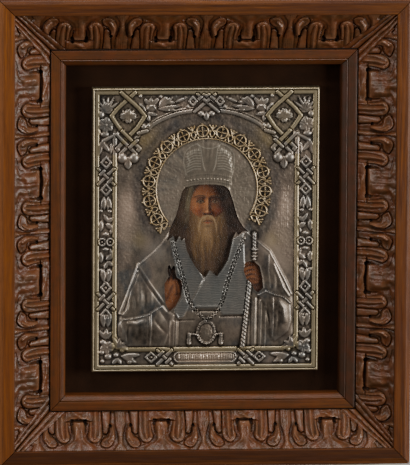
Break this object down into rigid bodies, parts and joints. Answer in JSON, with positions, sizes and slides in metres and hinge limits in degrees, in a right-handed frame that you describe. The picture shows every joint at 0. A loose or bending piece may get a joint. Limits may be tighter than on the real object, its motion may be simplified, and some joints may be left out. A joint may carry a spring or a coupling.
{
  "type": "icon panel",
  "caption": "Painted wooden icon panel under a chased silver cover with a pierced gilt halo, on a velvet board in a carved and mitred walnut frame.",
  "frame": {"origin": "middle of the frame's back, the panel lying on its back", "axes": "+Z out of the front, +Y towards the picture's top, +X to its right"},
  "size_m": [0.324, 0.368, 0.048],
  "materials": {
    "carved_wood": "stained and waxed walnut, worn on the high leaves",
    "velvet": "dark brown cotton velvet",
    "painted_panel": "tempera on gesso under an old varnish",
    "silver": "chased silver, tarnished in the hollows",
    "gilt": "worn gilding, pierced"
  },
  "bodies": {
    "root": {"frame_top": "carved_wood", "frame_bottom": "carved_wood", "frame_left": "carved_wood", "frame_right": "carved_wood", "velvet_board": "velvet", "icon_panel": "painted_panel", "silver_cover": "silver", "halo": "gilt"}
  },
  "joints": []
}
